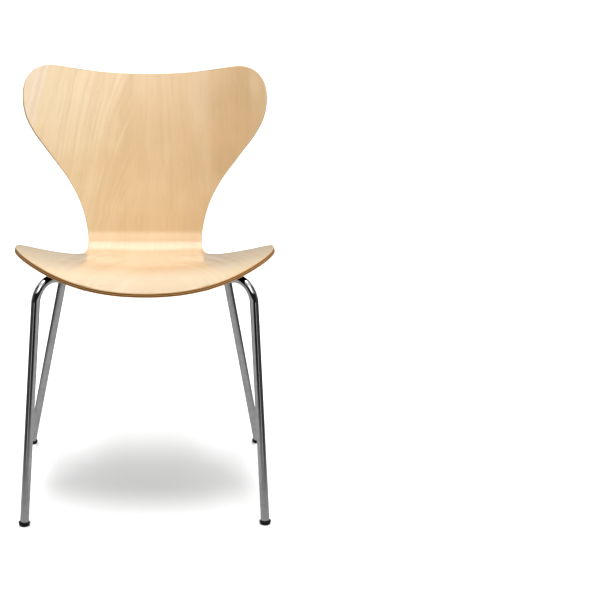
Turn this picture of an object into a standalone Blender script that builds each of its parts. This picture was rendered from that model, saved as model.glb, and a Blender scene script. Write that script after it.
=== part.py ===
"""Stacking chair: a one-piece moulded plywood shell on four bent steel tube legs.

Metres, +Z up. The sitter faces -Y, so the sitter's left is +X. The origin is on the floor, in
the middle of the chair's length and width. Every object in the chair collection is one piece.
"""

import math

import bmesh
import bpy
import numpy as np
from mathutils import Matrix, Vector

# Shell: one laminate, described along its centreline (s, from the front edge) and across it (x).
SHELL_THICKNESS = 0.0095
SHELL_EDGE_ROUND = 0.0015
FRONT_EDGE_Y = -0.2528
FRONT_EDGE_Z = 0.4457
SEAT_HALF_WIDTH = 0.2442
SEAT_WIDEST_S = 0.2500
FRONT_FULLNESS = 2.3
FRONT_ROW_HALF_WIDTH = 0.110
TOP_CENTRE_S = 0.7365
LEVEL_ROWS = (0.30, 0.66)
# (s, heading in degrees): 0 runs level to the rear and 90 straight up. Between two stations the
# centreline is a circular arc, so the short steep one is the bend from seat to back.
HEADINGS = (
    (0.000, 16.0),
    (0.085, -1.5),
    (0.220, -6.5),
    (0.344, -4.5),
    (0.424, 76.0),
    (0.560, 73.0),
    (0.780, 67.0),
)
# (s, rise in metres per square metre of x): how strongly the sides curl towards the sitter.
CURLS = (
    (0.000, 0.44),
    (0.060, 0.52),
    (0.120, 0.59),
    (0.220, 0.58),
    (0.265, 0.56),
    (0.300, 0.48),
    (0.335, 0.27),
    (0.365, 0.12),
    (0.410, 0.08),
    (0.470, 0.20),
    (0.570, 0.50),
    (0.660, 0.56),
    (0.780, 0.56),
)
# Outline of the sitter's left half as (x, s), from the seat's widest point, round the rear of the
# wing, up the waist and round the top corner.
SIDE_OUTLINE = (
    (0.2350, 0.2740),
    (0.2060, 0.3130),
    (0.1780, 0.3340),
    (0.1450, 0.3455),
    (0.1230, 0.3590),
    (0.1140, 0.3830),
    (0.1150, 0.4200),
    (0.1275, 0.4710),
    (0.1510, 0.5185),
    (0.1850, 0.5655),
    (0.2190, 0.6115),
    (0.2360, 0.6465),
    (0.2410, 0.6815),
    (0.2370, 0.7115),
    (0.2240, 0.7330),
    (0.2040, 0.7452),
    (0.1800, 0.7483),
    (0.1300, 0.7428),
)
SHELL_COLUMNS = 8
SHELL_ROWS = 64
FRONT_STEPS = 39
OUTLINE_STEPS = 12

# Leg frame: each leg is one tube that runs from the hub to a corner near the shell's edge and
# down to its foot. The rear legs splay more than the front ones.
TUBE_RADIUS = 0.008
TUBE_WALL = 0.0015
TUBE_BEND_RADIUS = 0.042
BEND_STEPS = 9
KNEE_BEND_RADIUS = 0.060
KNEE_STEPS = 3
FRONT_FOOT = Vector((0.2220, -0.2298, 0.0))
FRONT_CORNER = Vector((0.1930, -0.1988, 0.4615))
REAR_FOOT = Vector((0.2385, 0.2191, 0.0))
REAR_CORNER = Vector((0.1565, 0.1127, 0.4165))
ARM_START_RADIUS = 0.014
ARM_KNEE_RADIUS = 0.068

# Hub: a stack under the middle of the seat, level with the seat there. Heights are along the
# hub's own axis, downwards from the shell's underside.
HUB_Y = 0.0032
GAP = 0.0003
BLOCK_RADIUS = 0.064
BLOCK_DEPTH = 0.0090
BLOCK_CHAMFER = 0.002
BLOCK_SPARE = 0.010
PLATE_RADIUS = 0.056
PLATE_THICKNESS = 0.003
PLATE_CHAMFER = 0.0006
SCREW_CIRCLE = 0.036
SCREW_RADIUS = 0.003
SCREW_LENGTH = 0.012
SCREW_TIP_CHAMFER = 0.0006
SCREW_HEAD_RADIUS = 0.0053
SCREW_HEAD_HEIGHT = 0.0033
SCREW_HEAD_ROUND = 0.0022
HEX_KEY_RADIUS = 0.0023
HEX_SOCKET_DEPTH = 0.0020
SCREW_CLEARANCE = 0.0004
THREAD_CLEARANCE = 0.00015
WASHER_RADIUS = 0.0065
WASHER_THICKNESS = 0.0016
TEE_FLANGE_RADIUS = 0.0095
TEE_FLANGE_TOP = 0.0008
TEE_FLANGE_THICKNESS = 0.0014
TEE_BARREL_RADIUS = 0.0040
TEE_LENGTH = 0.0075
COVER_RADIUS = 0.0600
COVER_WALL = 0.0022
COVER_DEPTH = 0.0250
COVER_ROUND = 0.0130
COVER_DOME = 0.0030
COVER_DOME_MIDDLE = (0.0300, 0.0018)
COVER_THROAT = 0.0140

# Rubber buffers that clip on the arms and carry the shell's sides.
BUFFER_RADIUS = 0.0108
BUFFER_LENGTH = 0.022
BUFFER_PAD_HALF_WIDTH = 0.0090
BUFFER_PAD_TOP = 0.026
BUFFER_LIP_ANGLE = 58.0
FRONT_BUFFER_X = 0.138
REAR_BUFFER_X = 0.108

# Foot glides: a stem pushed in the tube and a flanged cup with a flat sole on the floor.
GLIDE_FLANGE_RADIUS = 0.0110
GLIDE_TOP = 0.0078
GLIDE_SOLE_RADIUS = 0.0066
GLIDE_STEM_LENGTH = 0.020
GLIDE_STEM_CHAMFER = 0.0012
GLIDE_RIM = 0.0012
GLIDE_BELOW_FLOOR = 0.006

DISC_STEPS = 48
ROUND_STEPS = 24
SMALL_STEPS = 18
MERGE = 0.00001

SIDES = (("left", 1.0), ("right", -1.0))


def clear_scene():
    for obj in list(bpy.data.objects):
        bpy.data.objects.remove(obj)


def make_collection(name):
    collection = bpy.data.collections.new(name)
    bpy.context.scene.collection.children.link(collection)
    return collection


def make_material(name, colour, roughness, metallic=0.0):
    material = bpy.data.materials.new(name)
    material.use_nodes = True
    shader = material.node_tree.nodes["Principled BSDF"]
    shader.inputs["Base Color"].default_value = (*colour, 1.0)
    shader.inputs["Roughness"].default_value = roughness
    shader.inputs["Metallic"].default_value = metallic
    return material


def place(name, data, collection, material=None, matrix=None, parent=None):
    """Links a new object that holds data, at matrix in its parent's frame or in the world."""
    obj = bpy.data.objects.new(name, data)
    collection.objects.link(obj)
    obj.parent = parent
    obj.matrix_local = matrix if matrix is not None else Matrix.Identity(4)
    if material is not None:
        data.materials.append(material)
    return obj


def make_cutter(obj):
    obj.hide_render = True
    obj.display_type = "WIRE"
    return obj


def add_boolean(obj, other, operation="DIFFERENCE"):
    modifier = obj.modifiers.new(f"{operation.lower()} {other.name}", "BOOLEAN")
    modifier.operation = operation
    modifier.object = other
    modifier.solver = "EXACT"
    return modifier


def add_bevel(obj, width, segments=2, angle=40.0):
    modifier = obj.modifiers.new("rounded edges", "BEVEL")
    modifier.width = width
    modifier.segments = segments
    modifier.limit_method = "ANGLE"
    modifier.angle_limit = math.radians(angle)
    return modifier


def turned_mesh(name, profile, ring=False):
    """A mesh of edges through profile, points of (radius, height), for a Screw modifier."""
    mesh = bpy.data.meshes.new(name)
    count = len(profile)
    edges = [(i, i + 1) for i in range(count - 1)]
    if ring:
        edges.append((count - 1, 0))
    mesh.from_pydata([(radius, 0.0, height) for radius, height in profile], edges, [])
    return mesh


def add_screw(obj, steps):
    modifier = obj.modifiers.new("turn", "SCREW")
    modifier.axis = "Z"
    modifier.steps = steps
    modifier.render_steps = steps
    modifier.use_merge_vertices = True
    modifier.merge_threshold = MERGE
    modifier.use_smooth_shade = True
    return modifier


def turned(name, profile, collection, material, matrix=None, parent=None, ring=False, steps=SMALL_STEPS):
    """A turned piece. The profile runs down the piece's outer side, from top to bottom."""
    obj = place(name, turned_mesh(name, profile, ring), collection, material, matrix, parent)
    add_screw(obj, steps)
    return obj


def arc(centre, radius, start, end, steps):
    """Points (a, b) on a circle from angle start to angle end, in degrees, both included."""
    angles = np.radians(np.linspace(start, end, steps + 1))
    return [(centre[0] + radius * math.cos(a), centre[1] + radius * math.sin(a)) for a in angles]


def smooth_curve(points, per_span):
    """Points on a smooth curve through points, per_span to each stretch between two of them."""
    before = 2 * points[0] - points[1]
    after = 2 * points[-1] - points[-2]
    padded = np.vstack([before, points, after])
    curve = [points[0]]
    for i in range(1, len(padded) - 2):
        p0, p1, p2, p3 = padded[i - 1 : i + 3]
        for t in np.linspace(0.0, 1.0, per_span + 1)[1:]:
            a = 2 * p1 + (p2 - p0) * t
            b = (2 * p0 - 5 * p1 + 4 * p2 - p3) * t * t
            c = (3 * p1 - p0 - 3 * p2 + p3) * t**3
            curve.append((a + b + c) / 2)
    return np.array(curve)


class ShellShape:
    """The sitter's side of the shell: where a point x across and s along the laminate lies."""

    STEP = 0.0005
    CURL_STEPS = 24

    def __init__(self):
        stations, headings = np.array(HEADINGS).T
        self.s = np.arange(0.0, stations[-1] + self.STEP, self.STEP)
        self.heading = np.radians(np.interp(self.s, stations, headings))
        run = np.cos(self.heading) * self.STEP
        rise = np.sin(self.heading) * self.STEP
        self.y = FRONT_EDGE_Y + np.concatenate([[0.0], np.cumsum(run)[:-1]])
        self.z = FRONT_EDGE_Z + np.concatenate([[0.0], np.cumsum(rise)[:-1]])
        self.curl_s, self.curl = smooth_curve(np.array(CURLS), self.CURL_STEPS).T

    def normal(self, s):
        heading = np.interp(s, self.s, self.heading)
        return Vector((0.0, -math.sin(heading), math.cos(heading)))

    def point(self, x, s):
        centre = Vector((x, np.interp(s, self.s, self.y), np.interp(s, self.s, self.z)))
        curl = np.interp(s, self.curl_s, self.curl)
        return centre + self.normal(s) * float(curl * x * x)

    def s_at(self, y):
        """Distance along the seat's centreline at which it passes y."""
        return float(np.interp(y, self.y, self.s))


def front_outline(share):
    """Distance s of the seat's front edge at a share of its half width: fuller than an ellipse."""
    return SEAT_WIDEST_S * (1.0 - (1.0 - share**FRONT_FULLNESS) ** (1.0 / FRONT_FULLNESS))


def side_points():
    """The side edge of the left half as evenly spaced (x, s), with its running length."""
    first = math.asin(FRONT_ROW_HALF_WIDTH / SEAT_HALF_WIDTH)
    shares = np.sin(np.linspace(first, math.pi / 2, FRONT_STEPS + 1))
    front = [(SEAT_HALF_WIDTH * share, front_outline(share)) for share in shares]
    rest = smooth_curve(np.array([front[-4], front[-1], *SIDE_OUTLINE]), OUTLINE_STEPS)[OUTLINE_STEPS:]
    edge = np.vstack([np.array(front), rest[1:]])
    length = np.concatenate([[0.0], np.cumsum(np.linalg.norm(np.diff(edge, axis=0), axis=1))])
    even = np.linspace(0.0, length[-1], SHELL_ROWS + 1)
    return np.interp(even, length, edge[:, 0]), np.interp(even, length, edge[:, 1])


def row_centres(edge_s):
    """Where each row crosses the centreline: level with its end, except near the front and top."""
    rows = np.arange(len(edge_s))
    level = [i for i in rows if LEVEL_ROWS[0] < edge_s[i] < LEVEL_ROWS[1]]
    known = [0, *level, rows[-1]]
    return np.interp(rows, known, [0.0, *edge_s[level], TOP_CENTRE_S])


def row_bow(t):
    """How far a row has left its centre's s towards its end's s, at the share t of its width."""
    share = FRONT_ROW_HALF_WIDTH / SEAT_HALF_WIDTH
    return front_outline(share * t) / front_outline(share)


def shell_sheet(name):
    """The left half of the shell as an open sheet: a grid whose corners lie on the outline."""
    shape = ShellShape()
    edge_x, edge_s = side_points()
    centre_s = row_centres(edge_s)
    sheet = bmesh.new()
    bmesh.ops.create_grid(sheet, x_segments=SHELL_COLUMNS, y_segments=SHELL_ROWS, size=1.0)
    for vertex in sheet.verts:
        t = (vertex.co.x + 1.0) / 2.0
        row = round((vertex.co.y + 1.0) / 2.0 * SHELL_ROWS)
        s = centre_s[row] + (edge_s[row] - centre_s[row]) * row_bow(t)
        vertex.co = shape.point(t * edge_x[row], s)
    mesh = bpy.data.meshes.new(name)
    sheet.to_mesh(mesh)
    sheet.free()
    mesh.shade_smooth()
    return mesh


def add_mirror_and_thickness(obj, thickness, offset):
    mirror = obj.modifiers.new("other half", "MIRROR")
    mirror.use_axis = (True, False, False)
    mirror.merge_threshold = MERGE
    solid = obj.modifiers.new("laminate", "SOLIDIFY")
    solid.thickness = thickness
    solid.offset = offset
    solid.use_even_offset = True
    return solid


def make_shell(collection, material):
    shell = place("seat_shell", shell_sheet("seat_shell"), collection, material)
    add_mirror_and_thickness(shell, SHELL_THICKNESS, -1.0)
    add_bevel(shell, SHELL_EDGE_ROUND)
    return shell


def make_shell_cutter(collection):
    """The space the shell takes with a gap under it, for trimming what is glued or pressed to it."""
    cutter = place("shell_space", shell_sheet("shell_space"), collection)
    add_mirror_and_thickness(cutter, 2 * (SHELL_THICKNESS + GAP), 0.0)
    return make_cutter(cutter)


def make_hub_frame(collection):
    """An empty on the shell's underside, tilted with the seat, that the hub's pieces hang from."""
    shape = ShellShape()
    s = shape.s_at(HUB_Y)
    top = shape.point(0.0, s)
    normal = shape.normal(s)
    hub = bpy.data.objects.new("hub_frame", None)
    collection.objects.link(hub)
    tilt = math.atan2(-normal.y, normal.z)
    hub.matrix_local = Matrix.Translation(top - normal * SHELL_THICKNESS) @ Matrix.Rotation(tilt, 4, "X")
    return hub


def screw_places():
    """(name, matrix) of the four screws, in the hub's frame, midway between the arms."""
    for name, x, y in (("front", 0, -1), ("rear", 0, 1), ("left", 1, 0), ("right", -1, 0)):
        yield name, Matrix.Translation((x * SCREW_CIRCLE, y * SCREW_CIRCLE, 0.0))


def plate_top():
    return -(BLOCK_DEPTH + GAP)


def plate_bottom():
    return plate_top() - PLATE_THICKNESS


def drill(obj, profile, hub, cutters):
    """Cuts a turned hole in obj on each screw's axis."""
    for name, matrix in screw_places():
        cutter = turned(f"{obj.name}_{name}_hole", profile, cutters, None, matrix, hub)
        add_boolean(obj, make_cutter(cutter))


def make_block(hub, shell_cutter, collection, cutters, material):
    """Plywood disc glued under the shell. Its top is planed to the shell's underside."""
    profile = [
        (0.0, BLOCK_SPARE),
        (BLOCK_RADIUS, BLOCK_SPARE),
        (BLOCK_RADIUS, -BLOCK_DEPTH + BLOCK_CHAMFER),
        (BLOCK_RADIUS - BLOCK_CHAMFER, -BLOCK_DEPTH),
        (0.0, -BLOCK_DEPTH),
    ]
    block = turned("mounting_block", profile, collection, material, None, hub, steps=DISC_STEPS)
    add_boolean(block, shell_cutter)
    seat = -(TEE_FLANGE_TOP + TEE_FLANGE_THICKNESS + GAP)
    counterbore, bore = TEE_FLANGE_RADIUS + GAP, TEE_BARREL_RADIUS + GAP
    top, bottom = BLOCK_SPARE, -2 * BLOCK_DEPTH
    hole = [(0.0, top), (counterbore, top), (counterbore, seat), (bore, seat), (bore, bottom), (0.0, bottom)]
    drill(block, hole, hub, cutters)
    return block


def make_tee_nuts(hub, collection, material):
    """Threaded inserts, their flanges under the shell and their barrels down in the block."""
    bore = SCREW_RADIUS + THREAD_CLEARANCE
    bottom = -(TEE_FLANGE_TOP + TEE_LENGTH)
    under_flange = -(TEE_FLANGE_TOP + TEE_FLANGE_THICKNESS)
    profile = [
        (bore, -TEE_FLANGE_TOP),
        (TEE_FLANGE_RADIUS, -TEE_FLANGE_TOP),
        (TEE_FLANGE_RADIUS, under_flange),
        (TEE_BARREL_RADIUS, under_flange),
        (TEE_BARREL_RADIUS, bottom),
        (bore, bottom),
    ]
    for name, matrix in screw_places():
        turned(f"tee_nut_{name}", profile, collection, material, matrix, hub, ring=True)


def make_plate(hub, collection, cutters, material):
    """Steel plate that the four arms are welded under."""
    top, bottom = plate_top(), plate_bottom()
    profile = [
        (0.0, top),
        (PLATE_RADIUS - PLATE_CHAMFER, top),
        (PLATE_RADIUS, top - PLATE_CHAMFER),
        (PLATE_RADIUS, bottom + PLATE_CHAMFER),
        (PLATE_RADIUS - PLATE_CHAMFER, bottom),
        (0.0, bottom),
    ]
    plate = turned("hub_plate", profile, collection, material, None, hub, steps=DISC_STEPS)
    bore = SCREW_RADIUS + SCREW_CLEARANCE
    above, below = top + PLATE_THICKNESS, bottom - PLATE_THICKNESS
    hole = [(0.0, above), (bore, above), (bore, below), (0.0, below)]
    drill(plate, hole, hub, cutters)
    return plate


def make_washers(hub, collection, material):
    top = plate_bottom() - GAP
    bottom = top - WASHER_THICKNESS
    inner = SCREW_RADIUS + SCREW_CLEARANCE
    profile = [(inner, top), (WASHER_RADIUS, top), (WASHER_RADIUS, bottom), (inner, bottom)]
    for name, matrix in screw_places():
        turned(f"washer_{name}", profile, collection, material, matrix, hub, ring=True)


def make_screws(hub, collection, cutters, material):
    """Button-head screws with a hex socket, up through the plate into the tee nuts."""
    seat = plate_bottom() - 2 * GAP - WASHER_THICKNESS
    tip = seat + SCREW_LENGTH
    head_bottom = seat - SCREW_HEAD_HEIGHT
    dome_centre = (SCREW_HEAD_RADIUS - SCREW_HEAD_ROUND, head_bottom + SCREW_HEAD_ROUND)
    profile = [
        (0.0, tip),
        (SCREW_RADIUS - SCREW_TIP_CHAMFER, tip),
        (SCREW_RADIUS, tip - SCREW_TIP_CHAMFER),
        (SCREW_RADIUS, seat),
        (SCREW_HEAD_RADIUS, seat),
        *arc(dome_centre, SCREW_HEAD_ROUND, 0.0, -90.0, 4),
        (0.0, head_bottom),
    ]
    for name, matrix in screw_places():
        screw = turned(f"screw_{name}", profile, collection, material, matrix, hub)
        socket = bmesh.new()
        bmesh.ops.create_cone(
            socket,
            cap_ends=True,
            segments=6,
            radius1=HEX_KEY_RADIUS,
            radius2=HEX_KEY_RADIUS,
            depth=2 * HEX_SOCKET_DEPTH,
            matrix=Matrix.Translation((0.0, 0.0, head_bottom)),
        )
        mesh = bpy.data.meshes.new(f"socket_{name}")
        socket.to_mesh(mesh)
        socket.free()
        add_boolean(screw, make_cutter(place(f"socket_{name}", mesh, cutters, None, matrix, hub)))


def under_plate(corner, radius, hub_matrix):
    """The point of an arm at this radius from the hub's axis, where it lies flat under the plate."""
    local = hub_matrix.inverted() @ corner
    point = Vector((local.x, local.y, 0.0)).normalized() * radius
    point.z = plate_bottom() - GAP - TUBE_RADIUS
    return hub_matrix @ point


def bend_points(before, corner, after, radius, steps):
    """Points of the round bend that replaces the corner between two straight stretches."""
    u = (before - corner).normalized()
    v = (after - corner).normalized()
    half = u.angle(v) / 2.0
    centre = corner + (u + v).normalized() * (radius / math.sin(half))
    first = corner + u * (radius / math.tan(half))
    axis = u.cross(v).normalized()
    turn = math.pi - 2.0 * half
    arm = first - centre
    return [centre + Matrix.Rotation(-turn * i / steps, 3, axis) @ arm for i in range(steps + 1)]


def mirrored(point, side):
    return Vector((point.x * side, point.y, point.z))


def leg_line(foot, corner, hub_matrix):
    """Centreline of a leg on the sitter's left, from the top of its glide to the hub."""
    upward = (corner - foot).normalized()
    start = foot + upward * (GLIDE_TOP + GAP)
    knee = under_plate(corner, ARM_KNEE_RADIUS, hub_matrix)
    end = under_plate(corner, ARM_START_RADIUS, hub_matrix)
    top_bend = bend_points(foot, corner, knee, TUBE_BEND_RADIUS, BEND_STEPS)
    return [start, *top_bend, *bend_points(corner, knee, end, KNEE_BEND_RADIUS, KNEE_STEPS), end]


def make_leg(name, line, collection, material):
    """One bent tube, open at both ends."""
    curve = bpy.data.curves.new(name, "CURVE")
    curve.dimensions = "3D"
    curve.bevel_depth = TUBE_RADIUS
    curve.bevel_resolution = 4
    spline = curve.splines.new("POLY")
    spline.points.add(len(line) - 1)
    for spline_point, point in zip(spline.points, line):
        spline_point.co = (*point, 1.0)
    tube = place(name, curve, collection, material)
    wall = tube.modifiers.new("wall", "SOLIDIFY")
    wall.thickness = TUBE_WALL
    wall.offset = -1.0
    return tube


def axis_frame(origin, along, up):
    """Matrix whose Z runs along a tube and whose Y is as near up as that allows."""
    z = along.normalized()
    x = up.cross(z).normalized()
    y = z.cross(x)
    rotation = Matrix((x, y, z)).transposed()
    return Matrix.Translation(origin) @ rotation.to_4x4()


def buffer_outline():
    """Section of a buffer across its tube: a clip open at the bottom, with a pad on top."""
    inner = TUBE_RADIUS + GAP
    shoulder = math.degrees(math.acos(BUFFER_PAD_HALF_WIDTH / BUFFER_RADIUS))
    lip = 90.0 + BUFFER_LIP_ANGLE
    return [
        *arc((0.0, 0.0), BUFFER_RADIUS, 90.0 - lip, shoulder, 6),
        (BUFFER_PAD_HALF_WIDTH, BUFFER_PAD_TOP),
        (-BUFFER_PAD_HALF_WIDTH, BUFFER_PAD_TOP),
        *arc((0.0, 0.0), BUFFER_RADIUS, 180.0 - shoulder, 90.0 + lip, 6),
        *arc((0.0, 0.0), inner, 90.0 + lip, 90.0 - lip, 14),
    ]


def make_buffer(name, line, x, side, shell_cutter, collection, material):
    """Rubber buffer clipped on an arm where the arm passes x. The shell's underside trims its pad."""
    outer, inner = line[BEND_STEPS + 1], line[BEND_STEPS + 2]
    share = (x - inner.x) / (outer.x - inner.x)
    centre = mirrored(inner.lerp(outer, share), side)
    along = mirrored(outer, side) - mirrored(inner, side)
    outline = bpy.data.curves.new(name, "CURVE")
    outline.dimensions = "2D"
    outline.fill_mode = "BOTH"
    outline.extrude = BUFFER_LENGTH / 2
    points = buffer_outline()
    spline = outline.splines.new("POLY")
    spline.points.add(len(points) - 1)
    spline.use_cyclic_u = True
    for spline_point, (a, b) in zip(spline.points, points):
        spline_point.co = (a, b, 0.0, 1.0)
    drawn = place(name, outline, collection, None, axis_frame(centre, along, Vector((0, 0, 1))))
    return solid_from_curve(drawn, collection, material, shell_cutter)


def solid_from_curve(drawn, collection, material, cutter):
    """Replaces a filled curve by its welded mesh, cut by cutter."""
    bpy.context.view_layer.update()
    name, matrix = drawn.name, drawn.matrix_world.copy()
    mesh = bpy.data.meshes.new_from_object(drawn.evaluated_get(bpy.context.evaluated_depsgraph_get()))
    bpy.data.objects.remove(drawn)
    welded = bmesh.new()
    welded.from_mesh(mesh)
    bmesh.ops.remove_doubles(welded, verts=welded.verts, dist=MERGE)
    welded.to_mesh(mesh)
    welded.free()
    solid = place(name, mesh, collection, material, matrix)
    add_boolean(solid, cutter)
    return solid


def make_glide(name, foot, corner, side, floor_cutter, collection, material):
    """Black plastic glide on the end of a leg, its sole cut level with the floor."""
    stem = TUBE_RADIUS - TUBE_WALL - GAP
    rim = GLIDE_RIM
    top = GLIDE_TOP + GLIDE_STEM_LENGTH
    profile = [
        (0.0, top),
        (stem - GLIDE_STEM_CHAMFER, top),
        (stem, top - GLIDE_STEM_CHAMFER),
        (stem, GLIDE_TOP),
        (GLIDE_FLANGE_RADIUS - rim, GLIDE_TOP),
        (GLIDE_FLANGE_RADIUS, GLIDE_TOP - rim),
        (GLIDE_FLANGE_RADIUS - 0.2 * rim, GLIDE_TOP - 2.4 * rim),
        (GLIDE_FLANGE_RADIUS - 1.4 * rim, 1.6 * rim),
        (GLIDE_SOLE_RADIUS, 0.0),
        (GLIDE_SOLE_RADIUS - rim, -GLIDE_BELOW_FLOOR),
        (0.0, -GLIDE_BELOW_FLOOR),
    ]
    upward = mirrored(corner - foot, side)
    frame = axis_frame(mirrored(foot, side), upward, Vector((0, 1, 0)))
    glide = turned(name, profile, collection, material, frame, steps=ROUND_STEPS)
    add_boolean(glide, floor_cutter)
    return glide


def make_floor_cutter(collection):
    """Everything under the floor."""
    slab = bmesh.new()
    bmesh.ops.create_cube(slab, size=1.0)
    mesh = bpy.data.meshes.new("under_floor")
    slab.to_mesh(mesh)
    slab.free()
    return make_cutter(place("under_floor", mesh, collection, None, Matrix.Translation((0.0, 0.0, -0.5))))


def make_cover(hub, lines, collection, cutters, material):
    """Plastic cap over the plate and the arms' inner ends. It snaps up on the four arms."""
    top = plate_top() - 2 * GAP
    bottom = top - COVER_DEPTH
    outer_round = arc((COVER_RADIUS - COVER_ROUND, bottom + COVER_ROUND), COVER_ROUND, 0.0, -70.0, 5)
    middle_radius, middle_drop = COVER_DOME_MIDDLE
    profile = [
        (COVER_RADIUS, top),
        *outer_round,
        (middle_radius, bottom - middle_drop),
        (0.0, bottom - COVER_DOME),
    ]
    cover = turned("hub_cover", profile, collection, material, None, hub, steps=DISC_STEPS)
    wall = cover.modifiers.new("wall", "SOLIDIFY")
    wall.thickness = COVER_WALL
    wall.offset = -1.0
    for name, line in lines.items():
        cut_notch(cover, name, line, cutters)
    return cover


def cut_notch(cover, name, line, cutters):
    """Opens the cover's wall for an arm: a round seat, and a narrower throat up to the rim."""
    outer, inner = line[-2], line[-1]
    middle = inner + (outer - inner).normalized() * COVER_RADIUS
    frame = axis_frame(middle, outer - inner, Vector((0, 0, 1)))
    seat = bmesh.new()
    bmesh.ops.create_cone(
        seat,
        cap_ends=True,
        segments=ROUND_STEPS,
        radius1=TUBE_RADIUS + GAP,
        radius2=TUBE_RADIUS + GAP,
        depth=COVER_RADIUS,
    )
    throat = bmesh.new()
    size = Matrix.Diagonal((COVER_THROAT, COVER_DEPTH, COVER_RADIUS, 1.0))
    bmesh.ops.create_cube(throat, size=1.0, matrix=Matrix.Translation((0.0, COVER_DEPTH / 2, 0.0)) @ size)
    for shape, label in ((seat, "seat"), (throat, "throat")):
        mesh = bpy.data.meshes.new(f"{name}_{label}")
        shape.to_mesh(mesh)
        shape.free()
        add_boolean(cover, make_cutter(place(f"{name}_{label}", mesh, cutters, None, frame)))


def build():
    clear_scene()
    chair = make_collection("stacking_chair")
    cutters = make_collection("cutters")
    beech = make_material("beech_plywood", (0.80, 0.58, 0.36), 0.38)
    birch = make_material("block_plywood", (0.62, 0.46, 0.29), 0.60)
    chrome = make_material("chrome_tube", (0.78, 0.78, 0.80), 0.08, 1.0)
    steel = make_material("zinc_steel", (0.62, 0.63, 0.65), 0.35, 1.0)
    plastic = make_material("black_plastic", (0.015, 0.015, 0.016), 0.45)
    rubber = make_material("black_rubber", (0.020, 0.020, 0.020), 0.75)

    make_shell(chair, beech)
    shell_cutter = make_shell_cutter(cutters)
    hub = make_hub_frame(chair)
    bpy.context.view_layer.update()
    make_block(hub, shell_cutter, chair, cutters, birch)
    make_tee_nuts(hub, chair, steel)
    make_plate(hub, chair, cutters, steel)
    make_washers(hub, chair, steel)
    make_screws(hub, chair, cutters, steel)

    floor_cutter = make_floor_cutter(cutters)
    ends = (
        ("front", FRONT_FOOT, FRONT_CORNER, FRONT_BUFFER_X),
        ("rear", REAR_FOOT, REAR_CORNER, REAR_BUFFER_X),
    )
    arms = {}
    for end, foot, corner, buffer_x in ends:
        line = leg_line(foot, corner, hub.matrix_world)
        for side_name, side in SIDES:
            name = f"{end}_{side_name}"
            arms[name] = [mirrored(point, side) for point in line]
            make_leg(f"leg_{name}", arms[name], chair, chrome)
            make_buffer(f"buffer_{name}", line, buffer_x, side, shell_cutter, chair, rubber)
            make_glide(f"glide_{name}", foot, corner, side, floor_cutter, chair, plastic)
    make_cover(hub, arms, chair, cutters, plastic)


build()
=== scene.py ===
"""Stacking chair: the looks of a moulded plywood shell on four chromed tube legs.

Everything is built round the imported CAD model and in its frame: metres, +Z up, the sitter faces
-Y and the sitter's left is +X. The chair's driving dimensions are the CAD model's own.
"""

import math

import bmesh
import bpy
import numpy as np
from mathutils import Matrix, Vector


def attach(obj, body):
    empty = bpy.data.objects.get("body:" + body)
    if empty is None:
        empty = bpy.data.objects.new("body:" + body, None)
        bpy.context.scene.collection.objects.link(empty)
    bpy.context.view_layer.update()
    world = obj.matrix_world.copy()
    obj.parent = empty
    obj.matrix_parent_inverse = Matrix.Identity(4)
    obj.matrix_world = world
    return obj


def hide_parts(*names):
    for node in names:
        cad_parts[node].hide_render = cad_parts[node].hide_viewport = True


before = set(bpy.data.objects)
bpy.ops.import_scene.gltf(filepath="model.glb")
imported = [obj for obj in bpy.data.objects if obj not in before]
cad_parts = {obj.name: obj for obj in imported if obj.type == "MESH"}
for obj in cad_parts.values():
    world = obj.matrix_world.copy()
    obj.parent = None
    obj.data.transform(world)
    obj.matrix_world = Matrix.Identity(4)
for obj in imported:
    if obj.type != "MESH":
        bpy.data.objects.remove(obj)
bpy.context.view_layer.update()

BODY = "root"
ENDS = ("front", "rear")
SIDES = (("left", 1.0), ("right", -1.0))

# Shell: one laminate, described along its centreline (s, from the front edge) and across it (x).
SHELL_THICKNESS = 0.0095
SHELL_EDGE_ROUND = 0.0015
FRONT_EDGE_Y = -0.2528
FRONT_EDGE_Z = 0.4457
SEAT_HALF_WIDTH = 0.2442
SEAT_WIDEST_S = 0.2500
FRONT_FULLNESS = 2.3
FRONT_ROW_HALF_WIDTH = 0.110
TOP_CENTRE_S = 0.7365
LEVEL_ROWS = (0.30, 0.66)
# (s, heading in degrees): 0 runs level to the rear and 90 straight up.
HEADINGS = (
    (0.000, 16.0),
    (0.085, -1.5),
    (0.220, -6.5),
    (0.344, -4.5),
    (0.424, 76.0),
    (0.560, 73.0),
    (0.780, 67.0),
)
# (s, rise in metres per square metre of x): how strongly the sides curl towards the sitter.
CURLS = (
    (0.000, 0.44),
    (0.060, 0.52),
    (0.120, 0.59),
    (0.220, 0.58),
    (0.265, 0.56),
    (0.300, 0.48),
    (0.335, 0.27),
    (0.365, 0.12),
    (0.410, 0.08),
    (0.470, 0.20),
    (0.570, 0.50),
    (0.660, 0.56),
    (0.780, 0.56),
)
# Outline of one half as (x, s), from the seat's widest point, round the rear of the wing, up the
# waist and round the top corner.
SIDE_OUTLINE = (
    (0.2350, 0.2740),
    (0.2060, 0.3130),
    (0.1780, 0.3340),
    (0.1450, 0.3455),
    (0.1230, 0.3590),
    (0.1140, 0.3830),
    (0.1150, 0.4200),
    (0.1275, 0.4710),
    (0.1510, 0.5185),
    (0.1850, 0.5655),
    (0.2190, 0.6115),
    (0.2360, 0.6465),
    (0.2410, 0.6815),
    (0.2370, 0.7115),
    (0.2240, 0.7330),
    (0.2040, 0.7452),
    (0.1800, 0.7483),
    (0.1300, 0.7428),
)
SHELL_COLUMNS = 28
SHELL_ROWS = 220
FRONT_STEPS = 80
OUTLINE_STEPS = 16
EDGE_ARC_STEPS = 4
EDGE_WALL_STEPS = 8
FACE_PLY = 0.0007
INNER_PLIES = 5

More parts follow.
